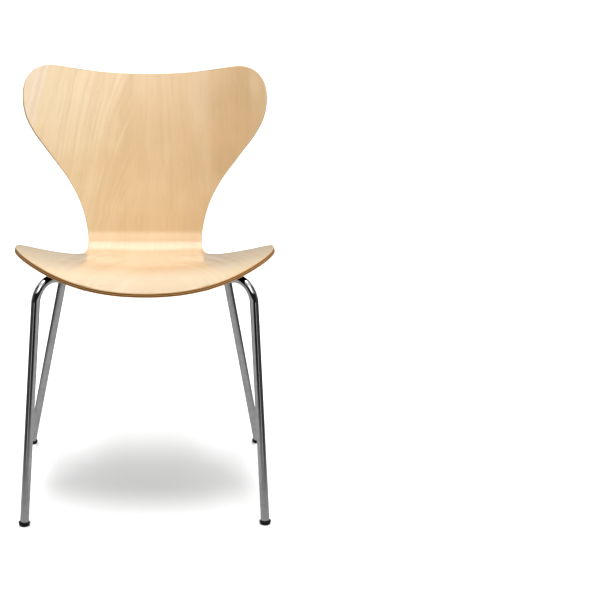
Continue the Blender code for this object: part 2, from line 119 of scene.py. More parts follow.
# Leg frame: each leg is one tube from the hub to a corner near the shell's edge and to its foot.
TUBE_RADIUS = 0.008
TUBE_WALL = 0.0015
TUBE_SIDES = 40
TUBE_BEND_RADIUS = 0.042
BEND_STEPS = 28
KNEE_BEND_RADIUS = 0.060
KNEE_STEPS = 8
FEET = {"front": Vector((0.2220, -0.2298, 0.0)), "rear": Vector((0.2385, 0.2191, 0.0))}
CORNERS = {"front": Vector((0.1930, -0.1988, 0.4615)), "rear": Vector((0.1565, 0.1127, 0.4165))}
ARM_START_RADIUS = 0.014
ARM_KNEE_RADIUS = 0.068

# Hub: heights are along its own axis, downwards from the shell's underside.
HUB_Y = 0.0032
GAP = 0.0003
BLOCK_RADIUS = 0.064
BLOCK_DEPTH = 0.0090
BLOCK_ROUND = 0.0020
BLOCK_ROUND_STEPS = 5
BLOCK_PLY = 0.0015
BLOCK_SPARE = 0.010
PLATE_THICKNESS = 0.003
SCREW_CIRCLE = 0.036
TEE_FLANGE_RADIUS = 0.0095
TEE_FLANGE_UNDER = 0.0022
TEE_BARREL_RADIUS = 0.0040
COVER_RADIUS = 0.0600
COVER_WALL = 0.0022
COVER_DEPTH = 0.0250
COVER_ROUND = 0.0130
COVER_DOME = 0.0030
COVER_DOME_MIDDLE = (0.0300, 0.0018)
COVER_LIP = 0.0008
COVER_THROAT = 0.0140
COVER_SWEEP = 74.0
COVER_ROUND_STEPS = 12
COVER_LIP_STEPS = 4
DISC_STEPS = 96
CARRIED_OVER = ("hub_plate", "screw_", "washer_", "tee_nut_")

# Rubber buffers that clip on the arms and carry the shell's sides.
BUFFER_RADIUS = 0.0108
BUFFER_LENGTH = 0.022
BUFFER_PAD_HALF_WIDTH = 0.0090
BUFFER_PAD_TOP = 0.026
BUFFER_LIP_ANGLE = 58.0
BUFFER_X = {"front": 0.138, "rear": 0.108}
BUFFER_EDGE_ROUND = 0.0009
BUFFER_EDGE_STEPS = 3
BUFFER_EDGE_ANGLE = math.radians(50.0)
BUFFER_ARC_STEPS = 20
BUFFER_PAD_STEPS = 8
BUFFER_STATIONS = 6

# Foot glides: a stem pushed in the tube and a flanged cup with a flat sole on the floor.
GLIDE_FLANGE_RADIUS = 0.0110
GLIDE_TOP = 0.0078
GLIDE_RIM = 0.0012
GLIDE_SOLE_RADIUS = 0.0066
GLIDE_STEM_RADIUS = TUBE_RADIUS - TUBE_WALL - GAP
GLIDE_STEM_LENGTH = 0.020
GLIDE_BELOW_FLOOR = 0.006
GLIDE_RIM_STEPS = 7
GLIDE_STEPS = 48

SHARP_ANGLE = math.radians(32.0)

# Veneer: how its figure lies on the shell, in x and s.
SHEET_CHANGE = 640.0
FIGURE_LEAN = 0.225
FIGURE_UPRIGHT_S = 0.70
FIGURE_DRIFT = 0.045
SEAM = (-0.2045, -0.2030)
ARCH_X = 0.022
ARCH_DRIFT = 0.02
ARCH_DEPTH = 17.0
# (share of the way from x = -0.25 to 0.25, colour as a screen shows it). Darker towards +x: partly
# the leaves' own tone, partly painted shade on the side the side light reaches less.
VENEER_TONES_AND_SIDE_SHADE = (
    (0.00, (249, 226, 188)),
    (0.24, (246, 219, 174)),
    (0.35, (243, 214, 168)),
    (0.43, (233, 198, 149)),
    (0.58, (235, 201, 153)),
    (0.70, (230, 194, 145)),
    (0.80, (223, 186, 136)),
    (1.00, (219, 181, 130)),
)

# Camera: at the photograph's viewing height and distance. A small turn and shift together leave
# the chair in the left half of the picture, where the photograph has it.
CAMERA_PLACE = Vector((0.0, -2.9502, 1.1362))
CAMERA_PITCH = 14.59
CAMERA_TURN = 2.80
CAMERA_SHIFT = 0.129
CAMERA_LENS = 94.9
CAMERA_SENSOR = 36.0
CAMERA_CLIP = (0.05, 200.0)

# Floor, and the greys that polished metal sees in it: (share of the way from 3 m in front to 3 m
# behind, level).
FLOOR_HALF_WIDTH = 40.0
FLOOR_WHITE = 0.83
MIRRORED_FLOOR = (
    (0.00, 0.012),
    (0.25, 0.040),
    (0.37, 0.210),
    (0.43, 0.310),
    (0.50, 0.430),
    (0.57, 0.360),
    (0.70, 0.260),
    (1.00, 0.360),
)

# Glowing grey board in front of the chair, a painted reflection, and a black sheet under the seat's
# front corners, painted shade in place of the shaded underside. Only reflections show them.
REFLECTION_BOARD_Y = (-0.50, -0.12)
REFLECTION_BOARD_HEIGHT = 0.42
SHADE_SHEET_CLEARANCE = 0.0002
SHADE_SHEET_THICKNESS = 0.0002
SHADE_SHEET_INNER_X = 0.130
SHADE_SHEET_REAR_Y = -0.120

# Lamps. Each one overhead has its own slant to the rear. The side one is at the sitter's left.
LAMP_ASIDE = 0.02
TOP_LAMPS = (("top_front", -0.26), ("top_middle", 0.09), ("top_rear", 0.44))
TOP_LAMP_STRENGTH = 0.44
TOP_LAMP_WIDTH = 20.0
FLOOR_LAMP_SLANTS = (-0.12, 0.00, 0.12, 0.24, 0.36)
FLOOR_LAMP_STRENGTH = 0.56
FLOOR_LAMP_WIDTH = 12.0
SIDE_LAMP_DIRECTION = (-1.0, 0.85, -0.55)
SIDE_LAMP_STRENGTH = 0.85
SIDE_LAMP_WIDTH = 35.0


# --- Curves and frames ---


def arc(centre, radius, start, end, steps):
    """Points (a, b) on a circle from angle start to angle end, in degrees, both included."""
    angles = np.radians(np.linspace(start, end, steps + 1))
    return [(centre[0] + radius * math.cos(a), centre[1] + radius * math.sin(a)) for a in angles]


def smooth_curve(points, per_span):
    """Points on a smooth curve through points, per_span to each stretch between two of them."""
    before = 2 * points[0] - points[1]
    after = 2 * points[-1] - points[-2]
    padded = np.vstack([before, points, after])
    curve = [points[0]]
    for i in range(1, len(padded) - 2):
        p0, p1, p2, p3 = padded[i - 1 : i + 3]
        for t in np.linspace(0.0, 1.0, per_span + 1)[1:]:
            a = 2 * p1 + (p2 - p0) * t
            b = (2 * p0 - 5 * p1 + 4 * p2 - p3) * t * t
            c = (3 * p1 - p0 - 3 * p2 + p3) * t**3
            curve.append((a + b + c) / 2)
    return np.array(curve)


def unit(vectors):
    return vectors / np.linalg.norm(vectors, axis=-1, keepdims=True)


def axis_frame(origin, along, up):
    """Matrix whose Z runs along a tube and whose Y is as near up as that allows."""
    z = along.normalized()
    x = up.cross(z).normalized()
    y = z.cross(x)
    rotation = Matrix((x, y, z)).transposed()
    return Matrix.Translation(origin) @ rotation.to_4x4()


def mirrored(point, side):
    return Vector((point.x * side, point.y, point.z))


# --- Meshes and pieces ---


def make_mesh(name, vertices, faces):
    mesh = bpy.data.meshes.new(name)
    mesh.from_pydata([tuple(v) for v in vertices], [], [tuple(f) for f in faces])
    return mesh


def link_object(name, data, matrix=None):
    obj = bpy.data.objects.new(name, data)
    bpy.context.scene.collection.objects.link(obj)
    if matrix is not None:
        obj.matrix_world = matrix
    return obj


def smooth_with_sharp_edges(mesh):
    mesh.shade_smooth()
    mesh.set_sharp_from_angle(angle=SHARP_ANGLE)


def make_piece(obj, material, node):
    """Gives obj its material, unless it has its own, and puts it in place of one CAD node."""
    if material is not None:
        obj.data.materials.clear()
        obj.data.materials.append(material)
    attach(obj, BODY)
    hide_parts(node)


def apply_modifiers(obj):
    bpy.context.view_layer.update()
    depsgraph = bpy.context.evaluated_depsgraph_get()
    mesh = bpy.data.meshes.new_from_object(obj.evaluated_get(depsgraph))
    obj.modifiers.clear()
    obj.data = mesh


def carve(obj, cutters):
    """Cuts the cutters out of obj, applies the result and removes the cutters."""
    for cutter in cutters:
        modifier = obj.modifiers.new(f"cut {cutter.name}", "BOOLEAN")
        modifier.operation = "DIFFERENCE"
        modifier.object = cutter
        modifier.solver = "EXACT"
    apply_modifiers(obj)
    for cutter in cutters:
        bpy.data.objects.remove(cutter)


def lathe(profile, steps):
    """A closed turned solid. The profile starts and ends on the axis and runs down the outside."""
    angles = np.linspace(0.0, 2 * math.pi, steps, endpoint=False)
    middle = profile[1:-1]
    vertices = [(0.0, 0.0, profile[0][1])]
    for radius, height in middle:
        vertices += [(radius * math.cos(a), radius * math.sin(a), height) for a in angles]
    vertices.append((0.0, 0.0, profile[-1][1]))
    last = len(vertices) - 1
    faces = []
    for j in range(steps):
        k = (j + 1) % steps
        faces.append((0, 1 + j, 1 + k))
        for i in range(len(middle) - 1):
            upper, lower = 1 + i * steps, 1 + (i + 1) * steps
            faces.append((upper + j, lower + j, lower + k, upper + k))
        bottom = 1 + (len(middle) - 1) * steps
        faces.append((last, bottom + k, bottom + j))
    return vertices, faces


def turned(name, profile, steps, place):
    return link_object(name, make_mesh(name, *lathe(profile, steps)), place)


def frames_along(line):
    """Two directions across the line at each of its points, without twist from point to point."""
    tangents = unit(np.gradient(line, axis=0))
    across = np.cross(tangents[0], (0.0, 0.0, 1.0))
    first = []
    for tangent in tangents:
        across = unit(across - tangent * across.dot(tangent))
        first.append(across)
    first = np.array(first)
    return first, np.cross(tangents, first)


def tube_mesh(name, line, radius, wall, sides):
    """An open tube along line, with its wall's thickness."""
    line = np.array([tuple(point) for point in line])
    first, second = frames_along(line)
    angles = np.linspace(0.0, 2 * math.pi, sides, endpoint=False)
    cosines, sines = np.cos(angles)[:, None], np.sin(angles)[:, None]
    ring = cosines * first[:, None] + sines * second[:, None]
    outer = line[:, None] + ring * radius
    inner = line[:, None] + ring * (radius - wall)
    vertices = np.concatenate([outer.reshape(-1, 3), inner.reshape(-1, 3)])
    count, inside = len(line), len(line) * sides
    faces = []
    for j in range(sides):
        k = (j + 1) % sides
        for i in range(count - 1):
            a, b = i * sides, (i + 1) * sides
            faces.append((a + j, a + k, b + k, b + j))
            faces.append((inside + a + j, inside + b + j, inside + b + k, inside + a + k))
        end = (count - 1) * sides
        faces.append((j, inside + j, inside + k, k))
        faces.append((end + j, end + k, inside + end + k, inside + end + j))
    mesh = make_mesh(name, vertices, faces)
    smooth_with_sharp_edges(mesh)
    return mesh


# --- Shell ---


class ShellShape:
    """The sitter's side of the shell: where points x across and s along the laminate lie."""

    STEP = 0.0005
    CURL_STEPS = 24
    DELTA = 0.0004

    def __init__(self):
        stations, headings = np.array(HEADINGS).T
        self.s = np.arange(0.0, stations[-1] + self.STEP, self.STEP)
        self.heading = np.radians(np.interp(self.s, stations, headings))
        run = np.cos(self.heading) * self.STEP
        rise = np.sin(self.heading) * self.STEP
        self.y = FRONT_EDGE_Y + np.concatenate([[0.0], np.cumsum(run)[:-1]])
        self.z = FRONT_EDGE_Z + np.concatenate([[0.0], np.cumsum(rise)[:-1]])
        self.curl_s, self.curl = smooth_curve(np.array(CURLS), self.CURL_STEPS).T

    def points(self, x, s):
        heading = np.interp(s, self.s, self.heading)
        lift = np.interp(s, self.curl_s, self.curl) * x * x
        y = np.interp(s, self.s, self.y) - np.sin(heading) * lift
        z = np.interp(s, self.s, self.z) + np.cos(heading) * lift
        return np.stack([x, y, z], axis=-1)

    def normals(self, x, s):
        across = self.points(x + self.DELTA, s) - self.points(x - self.DELTA, s)
        along = self.points(x, s + self.DELTA) - self.points(x, s - self.DELTA)
        return unit(np.cross(across, along))

    def s_at(self, y):
        """Distance along the seat's centreline at which it passes y."""
        return float(np.interp(y, self.y, self.s))


def front_outline(share):
    """Distance s of the seat's front edge at a share of its half width: fuller than an ellipse."""
    return SEAT_WIDEST_S * (1.0 - (1.0 - share**FRONT_FULLNESS) ** (1.0 / FRONT_FULLNESS))


def side_points():
    """The side edge of one half as evenly spaced x and s."""
    first = math.asin(FRONT_ROW_HALF_WIDTH / SEAT_HALF_WIDTH)
    shares = np.sin(np.linspace(first, math.pi / 2, FRONT_STEPS + 1))
    front = np.stack([SEAT_HALF_WIDTH * shares, front_outline(shares)], axis=-1)
    # A point a little before the widest one gives the rest of the side its direction there.
    through = np.vstack([front[-4], front[-1], SIDE_OUTLINE])
    rest = smooth_curve(through, OUTLINE_STEPS)[OUTLINE_STEPS:]
    edge = np.vstack([front, rest[1:]])
    length = np.concatenate([[0.0], np.cumsum(np.linalg.norm(np.diff(edge, axis=0), axis=1))])
    even = np.linspace(0.0, length[-1], SHELL_ROWS + 1)
    return np.interp(even, length, edge[:, 0]), np.interp(even, length, edge[:, 1])


def shell_grid():
    """x and s of the shell's grid: rows from the front edge to the top, each from -x to +x."""
    edge_x, edge_s = side_points()
    rows = np.arange(len(edge_s))
    level = [i for i in rows if LEVEL_ROWS[0] < edge_s[i] < LEVEL_ROWS[1]]
    centre_s = np.interp(rows, [0, *level, rows[-1]], [0.0, *edge_s[level], TOP_CENTRE_S])
    share = FRONT_ROW_HALF_WIDTH / SEAT_HALF_WIDTH
    t = np.linspace(-1.0, 1.0, 2 * SHELL_COLUMNS + 1)
    bow = front_outline(share * np.abs(t)) / front_outline(share)
    x = edge_x[:, None] * t
    s = centre_s[:, None] + (edge_s - centre_s)[:, None] * bow
    return x, s


def outline_loop(rows, columns):
    """Grid places (row, column) round the outline, anticlockwise as the sitter's side shows it."""
    front = [(0, c) for c in range(columns)]
    left = [(r, columns - 1) for r in range(1, rows)]
    top = [(rows - 1, c) for c in range(columns - 2, -1, -1)]
    right = [(r, 0) for r in range(rows - 2, 0, -1)]
    return np.array(front + left + top + right)


def edge_profile(top, bottom, rounding):
    """(outward, depth, lean) down the edge. Lean 1 faces the sitter, 0 outwards, -1 away."""
    angles = np.linspace(0.0, math.pi / 2, EDGE_ARC_STEPS + 1)
    reach = rounding * (np.sin(angles) - 1.0)
    drop = rounding * (1.0 - np.cos(angles))
    upper = list(zip(reach, top + drop, np.cos(angles)))
    walls = np.linspace(top + rounding, bottom - rounding, EDGE_WALL_STEPS + 1)[1:-1]
    lower = list(zip(reach, bottom - drop, -np.cos(angles)))[::-1]
    return upper + [(0.0, depth, 0.0) for depth in walls] + lower


def shell_mesh(name, shape, top, bottom, rounding):
    """The laminate between two depths under the sitter's side, as one closed mesh.

    Its veneer attribute holds x, s and depth, and its edge faces use the second material.
    """
    x, s = shell_grid()
    rows, columns = x.shape
    face, normal = shape.points(x, s), shape.normals(x, s)
    loop = outline_loop(rows, columns)
    r, c = loop.T
    rim, rim_normal = face[r, c], normal[r, c]
    outward = unit(np.cross(np.roll(rim, -1, axis=0) - np.roll(rim, 1, axis=0), rim_normal))
    inset = face.copy()
    inset[r, c] = rim - outward * rounding

    profile = edge_profile(top, bottom, rounding)[1:-1]
    vertices = [(inset - normal * top).reshape(-1, 3), (inset - normal * bottom).reshape(-1, 3)]
    normals = [normal.reshape(-1, 3), -normal.reshape(-1, 3)]
    depths = [np.full(x.size, top), np.full(x.size, bottom)]
    places = [np.stack([x.ravel(), s.ravel()], axis=-1)] * 2
    for reach, depth, lean in profile:
        vertices.append(rim + outward * reach - rim_normal * depth)
        normals.append(outward * math.sqrt(1.0 - lean * lean) + rim_normal * lean)
        depths.append(np.full(len(loop), depth))
        places.append(np.stack([x[r, c], s[r, c]], axis=-1))

    corner = np.arange(x.size).reshape(rows, columns)
    quads = np.stack([corner[:-1, :-1], corner[:-1, 1:], corner[1:, 1:], corner[1:, :-1]], axis=-1)
    quads = quads.reshape(-1, 4)
    rings = [corner[r, c]]
    rings += [2 * x.size + i * len(loop) + np.arange(len(loop)) for i in range(len(profile))]
    rings.append(x.size + corner[r, c])
    bands = []
    for upper, lower in zip(rings, rings[1:]):
        bands.append(np.stack([upper, lower, np.roll(lower, -1), np.roll(upper, -1)], axis=-1))
    faces = np.concatenate([quads, (quads + x.size)[:, ::-1], *bands])

    mesh = make_mesh(name, np.concatenate(vertices), faces)
    mesh.shade_smooth()
    mesh.normals_split_custom_set_from_vertices(np.concatenate(normals))
    veneer = mesh.attributes.new("veneer", "FLOAT_VECTOR", "POINT")
    veneer_places = np.column_stack([np.concatenate(places), np.concatenate(depths)])
    veneer.data.foreach_set("vector", veneer_places.ravel())
    edge_faces = np.zeros(len(faces), dtype=np.int32)
    edge_faces[2 * len(quads) :] = 1
    mesh.attributes.new("material_index", "INT", "FACE").data.foreach_set("value", edge_faces)
    return mesh


def make_shell(shape, veneer, edge):
    mesh = shell_mesh("shell_laminate", shape, 0.0, SHELL_THICKNESS, SHELL_EDGE_ROUND)
    mesh.materials.append(veneer)
    mesh.materials.append(edge)
    shell = link_object("shell_laminate", mesh)
    make_piece(shell, None, "seat_shell")


def make_shell_space(shape):
    """The space the shell takes with a gap under it, for trimming what sits under it."""
    reach = SHELL_THICKNESS + GAP
    return link_object("shell_space", shell_mesh("shell_space", shape, -reach, reach, 0.0))


# --- Hub ---


def hub_matrix(shape):
    """The hub's frame: on the shell's underside, tilted with the seat."""
    s = shape.s_at(HUB_Y)
    top = Vector(shape.points(np.array(0.0), np.array(s)))
    normal = Vector(shape.normals(np.array(0.0), np.array(s)))
    tilt = math.atan2(-normal.y, normal.z)
    return Matrix.Translation(top - normal * SHELL_THICKNESS) @ Matrix.Rotation(tilt, 4, "X")


def plate_bottom():
    return -(BLOCK_DEPTH + GAP + PLATE_THICKNESS)


def screw_places():
    for x, y in ((0, -1), (0, 1), (1, 0), (-1, 0)):
        yield Matrix.Translation((x * SCREW_CIRCLE, y * SCREW_CIRCLE, 0.0))


def make_block(hub, shell_space, material):
    """Plywood disc glued under the shell, its top planed to the shell and drilled for the nuts."""
    round_centre = (BLOCK_RADIUS - BLOCK_ROUND, BLOCK_ROUND - BLOCK_DEPTH)
    rounding = arc(round_centre, BLOCK_ROUND, 0.0, -90.0, BLOCK_ROUND_STEPS)
    profile = [(0.0, BLOCK_SPARE), (BLOCK_RADIUS, BLOCK_SPARE), *rounding, (0.0, -BLOCK_DEPTH)]
    block = turned("block_disc", profile, DISC_STEPS, hub)
    seat = -(TEE_FLANGE_UNDER + GAP)
    counterbore, bore = TEE_FLANGE_RADIUS + GAP, TEE_BARREL_RADIUS + GAP
    bottom = -2 * BLOCK_DEPTH
    hole = [
        (0.0, BLOCK_SPARE),
        (counterbore, BLOCK_SPARE),
        (counterbore, seat),
        (bore, seat),
        (bore, bottom),
        (0.0, bottom),
    ]
    drills = [turned("drill", hole, GLIDE_STEPS, hub @ place) for place in screw_places()]
    carve(block, [shell_space, *drills])
    smooth_with_sharp_edges(block.data)
    make_piece(block, material, "mounting_block")


def make_cover(hub, lines, material):
    """Plastic cap over the plate and the arms' inner ends. It snaps up on the four arms."""
    top = -(BLOCK_DEPTH + 3 * GAP)
    bottom = top - COVER_DEPTH
    middle_radius, middle_drop = COVER_DOME_MIDDLE
    round_centre = (COVER_RADIUS - COVER_ROUND, bottom + COVER_ROUND)
    outside = arc(round_centre, COVER_ROUND, 0.0, -COVER_SWEEP, COVER_ROUND_STEPS)
    inside = arc(round_centre, COVER_ROUND - COVER_WALL, -COVER_SWEEP, 0.0, COVER_ROUND_STEPS)
    lip_centre = (COVER_RADIUS - COVER_LIP, top - COVER_LIP)
    lip = arc(lip_centre, COVER_LIP, 90.0, 0.0, COVER_LIP_STEPS)
    profile = [
        (0.0, bottom - COVER_DOME + COVER_WALL),
        (middle_radius, bottom - middle_drop + COVER_WALL),
        *inside,
        (COVER_RADIUS - COVER_WALL, top),
        *lip,
        *outside,
        (middle_radius, bottom - middle_drop),
        (0.0, bottom - COVER_DOME),
    ]
    cover = turned("hub_cap", profile, DISC_STEPS, hub)
    cutters = []
    for line in lines.values():
        cutters += notch_cutters(line)
    carve(cover, cutters)
    smooth_with_sharp_edges(cover.data)
    make_piece(cover, material, "hub_cover")


def notch_cutters(line):
    """What opens the cover's wall for an arm: a round seat, and a narrower throat up to the rim."""
    outer, inner = line[-2], line[-1]
    middle = inner + (outer - inner).normalized() * COVER_RADIUS
    place = axis_frame(middle, outer - inner, Vector((0, 0, 1)))
    seat = bmesh.new()
    radius = TUBE_RADIUS + GAP
    bmesh.ops.create_cone(
        seat, cap_ends=True, segments=TUBE_SIDES, radius1=radius, radius2=radius, depth=COVER_RADIUS
    )
    throat = bmesh.new()
    size = Matrix.Diagonal((COVER_THROAT, COVER_DEPTH, COVER_RADIUS, 1.0))
    raised = Matrix.Translation((0.0, COVER_DEPTH / 2, 0.0))
    bmesh.ops.create_cube(throat, size=1.0, matrix=raised @ size)
    cutters = []
    for shape in (seat, throat):
        mesh = bpy.data.meshes.new("notch")
        shape.to_mesh(mesh)
        shape.free()
        cutters.append(link_object("notch", mesh, place))
    return cutters


# --- Legs, buffers and glides ---


def under_plate(corner, radius, hub):
    """The point of an arm at this radius from the hub's axis, where it lies flat under the plate."""
    local = hub.inverted() @ corner
    point = Vector((local.x, local.y, 0.0)).normalized() * radius
    point.z = plate_bottom() - GAP - TUBE_RADIUS
    return hub @ point


def bend_points(before, corner, after, radius, steps):
    """Points of the round bend that replaces the corner between two straight stretches."""
    u = (before - corner).normalized()
    v = (after - corner).normalized()
    half = u.angle(v) / 2.0
    centre = corner + (u + v).normalized() * (radius / math.sin(half))
    first = corner + u * (radius / math.tan(half))
    axis = u.cross(v).normalized()
    turn = math.pi - 2.0 * half
    arm = first - centre
    return [centre + Matrix.Rotation(-turn * i / steps, 3, axis) @ arm for i in range(steps + 1)]


def leg_line(foot, corner, hub):
    """Centreline of a leg on the sitter's left, from the top of its glide to the hub."""
    upward = (corner - foot).normalized()
    start = foot + upward * (GLIDE_TOP + GAP)
    knee = under_plate(corner, ARM_KNEE_RADIUS, hub)
    end = under_plate(corner, ARM_START_RADIUS, hub)
    top_bend = bend_points(foot, corner, knee, TUBE_BEND_RADIUS, BEND_STEPS)
    knee_bend = bend_points(corner, knee, end, KNEE_BEND_RADIUS, KNEE_STEPS)
    return [start, *top_bend, *knee_bend, end]


def make_leg(place, line, material):
    mesh = tube_mesh(f"leg_tube_{place}", line, TUBE_RADIUS, TUBE_WALL, TUBE_SIDES)
    make_piece(link_object(mesh.name, mesh), material, f"leg_{place}")


def buffer_outline():
    """Section of a buffer across its tube: a clip open at the bottom, with a pad on top."""
    inner = TUBE_RADIUS + GAP
    shoulder = math.degrees(math.acos(BUFFER_PAD_HALF_WIDTH / BUFFER_RADIUS))
    lip = 90.0 + BUFFER_LIP_ANGLE
    across = np.linspace(BUFFER_PAD_HALF_WIDTH, -BUFFER_PAD_HALF_WIDTH, BUFFER_PAD_STEPS + 1)
    return [
        *arc((0.0, 0.0), BUFFER_RADIUS, 90.0 - lip, shoulder, BUFFER_ARC_STEPS),
        *[(a, BUFFER_PAD_TOP) for a in across],
        *arc((0.0, 0.0), BUFFER_RADIUS, 180.0 - shoulder, 90.0 + lip, BUFFER_ARC_STEPS),
        *arc((0.0, 0.0), inner, 90.0 + lip, 90.0 - lip, 2 * BUFFER_ARC_STEPS),
    ]


def make_buffer(place, line, x, side, shell_space, material):
    """Rubber buffer clipped on an arm where it passes x. The shell's underside trims its pad."""
    outer, inner = line[BEND_STEPS + 1], line[BEND_STEPS + 2]
    share = (x - inner.x) / (outer.x - inner.x)
    centre = mirrored(inner.lerp(outer, share), side)
    along = mirrored(outer, side) - mirrored(inner, side)
    outline = buffer_outline()
    stations = np.linspace(-BUFFER_LENGTH / 2, BUFFER_LENGTH / 2, BUFFER_STATIONS + 1)
    vertices = [(a, b, z) for z in stations for a, b in outline]
    count = len(outline)
    faces = []
    for i in range(BUFFER_STATIONS):
        near, far = i * count, (i + 1) * count
        for j in range(count):
            k = (j + 1) % count
            faces.append((near + j, near + k, far + k, far + j))
    faces.append(tuple(range(count - 1, -1, -1)))
    faces.append(tuple(BUFFER_STATIONS * count + j for j in range(count)))
    mesh = make_mesh(f"buffer_clip_{place}", vertices, faces)
    clip = link_object(mesh.name, mesh, axis_frame(centre, along, Vector((0, 0, 1))))
    trim = link_object("trim", shell_space.data)
    carve(clip, [trim])
    bevel = clip.modifiers.new("rounded edges", "BEVEL")
    bevel.width = BUFFER_EDGE_ROUND
    bevel.segments = BUFFER_EDGE_STEPS
    bevel.limit_method = "ANGLE"
    bevel.angle_limit = BUFFER_EDGE_ANGLE
    apply_modifiers(clip)
    smooth_with_sharp_edges(clip.data)
    make_piece(clip, material, f"buffer_{place}")


def make_glide(place, foot, corner, side, material):
    """Black plastic glide on the end of a leg, its sole cut level with the floor.

    Its small steps are counted in its rim's rounding.
    """
    stem, flange, sole = GLIDE_STEM_RADIUS, GLIDE_FLANGE_RADIUS, GLIDE_SOLE_RADIUS
    rim = GLIDE_RIM
    top = GLIDE_TOP + GLIDE_STEM_LENGTH
    profile = [
        (0.0, top),
        (stem - rim, top),
        (stem, top - rim),
        (stem, GLIDE_TOP),
        (flange - 1.6 * rim, GLIDE_TOP),
        *arc((flange - rim, GLIDE_TOP - rim), rim, 90.0, -20.0, GLIDE_RIM_STEPS),
        (flange - 0.5 * rim, GLIDE_TOP - 2.9 * rim),
        (sole + 2.6 * rim, 1.9 * rim),
        (sole + 1.2 * rim, 0.7 * rim),
        (sole, 0.0),
        (sole - rim, -GLIDE_BELOW_FLOOR),
        (0.0, -GLIDE_BELOW_FLOOR),
    ]
    upward = mirrored(corner - foot, side)
    matrix = axis_frame(mirrored(foot, side), upward, Vector((0, 1, 0)))
    mesh = make_mesh(f"glide_cup_{place}", *lathe(profile, GLIDE_STEPS))
    mesh.transform(matrix)
    cup = bmesh.new()
    cup.from_mesh(mesh)
    everything = [*cup.verts, *cup.edges, *cup.faces]
    cut = bmesh.ops.bisect_plane(
        cup, geom=everything, plane_co=(0, 0, 0), plane_no=(0, 0, -1), clear_outer=True
    )
    rim_edges = [e for e in cut["geom_cut"] if isinstance(e, bmesh.types.BMEdge)]
    bmesh.ops.contextual_create(cup, geom=rim_edges)
    bmesh.ops.recalc_face_normals(cup, faces=cup.faces)
    cup.to_mesh(mesh)
    cup.free()
    smooth_with_sharp_edges(mesh)
    make_piece(link_object(mesh.name, mesh), material, f"glide_{place}")


# --- Materials ---


def srgb(red, green, blue):
    """Scene-linear colour of a colour given as it shows on a screen, 0 to 255."""

    def linear(value):
        share = value / 255.0
        return share / 12.92 if share <= 0.04045 else ((share + 0.055) / 1.055) ** 2.4

    return (linear(red), linear(green), linear(blue), 1.0)


def grey(level):
    return (level, level, level, 1.0)


class Nodes:
    """Short ways to add nodes to one node tree and link them."""

    def __init__(self, tree):
        self.tree = tree

    def put(self, socket, value):
        if isinstance(value, bpy.types.NodeSocket):
            self.tree.links.new(value, socket)
        else:
            socket.default_value = value

    def add(self, kind, inputs=(), **settings):
        node = self.tree.nodes.new(kind)
        for name, value in settings.items():
            setattr(node, name, value)
        for key, value in dict(inputs).items():
            self.put(node.inputs[key], value)
        return node

    def math(self, operation, *values):
        return self.add("ShaderNodeMath", enumerate(values), operation=operation).outputs[0]

    def times(self, product, *factors):
        for factor in factors:
            product = self.math("MULTIPLY", product, factor)
        return product

    def split(self, vector):
        return self.add("ShaderNodeSeparateXYZ", {0: vector}).outputs

    def noise(self, vector, scale=1.0, detail=2.0, roughness=0.5):
        inputs = {"Vector": vector, "Scale": scale, "Detail": detail, "Roughness": roughness}
        return self.add("ShaderNodeTexNoise", inputs).outputs[0]

    def figure(self, place, rates, detail=2.0, roughness=0.5):
        """Noise that changes at its own rate along each of place's three parts."""
        stretched = [self.math("MULTIPLY", part, rate) for part, rate in zip(place, rates)]
        vector = self.add("ShaderNodeCombineXYZ", enumerate(stretched)).outputs[0]
        return self.noise(vector, detail=detail, roughness=roughness)

    def spread(self, value, low, high, to_low=0.0, to_high=1.0, smooth=True):
        """to_low to to_high as value goes from low to high, and held beyond."""
        kind = "SMOOTHSTEP" if smooth else "LINEAR"
        inputs = enumerate((value, low, high, to_low, to_high))
        return self.add("ShaderNodeMapRange", inputs, interpolation_type=kind).outputs[0]

    def mix(self, share, first, second):
        inputs = {0: share, 6: first, 7: second}
        return self.add("ShaderNodeMix", inputs, data_type="RGBA").outputs[2]

    def tint(self, tone, colour, value, low, high, share):
        """tone, taken towards colour by up to share as value goes from low to high."""
        return self.mix(self.spread(value, low, high, 0.0, share), tone, colour)

    def ramp(self, value, stops):
        node = self.add("ShaderNodeValToRGB", {0: value})
        ramp = node.color_ramp
        while len(ramp.elements) < len(stops):
            ramp.elements.new(0.5)
        for element, (place, colour) in zip(ramp.elements, stops):
            element.position = place
            element.color = colour
        return node.outputs[0]

    def mix_shaders(self, share, first, second):
        return self.add("ShaderNodeMixShader", enumerate((share, first, second))).outputs[0]

    def finish(self, shader, tone, roughness, height, strength, distance):
        """Gives a Principled BSDF its colour, its roughness and a relief of this height."""
        relief = {"Height": height, "Strength": strength, "Distance": distance}
        self.put(shader.inputs["Base Color"], tone)
        self.put(shader.inputs["Roughness"], roughness)
        self.put(shader.inputs["Normal"], self.add("ShaderNodeBump", relief).outputs[0])


def new_material(name, **settings):
    """A material with its nodes and its Principled BSDF, whose plain sockets take settings."""
    material = bpy.data.materials.new(name)
    material.use_nodes = True
    shader = material.node_tree.nodes["Principled BSDF"]
    for key, value in settings.items():
        shader.inputs[key.replace("_", " ")].default_value = value
    return material, Nodes(material.node_tree), shader


def object_place(nodes):
    return nodes.add("ShaderNodeTexCoord").outputs["Object"]


def veneer_place(nodes):
    """x, s and depth in the laminate, as the shell's mesh holds them."""
    place = nodes.add("ShaderNodeAttribute", attribute_name="veneer").outputs["Vector"]
    return nodes.split(place)


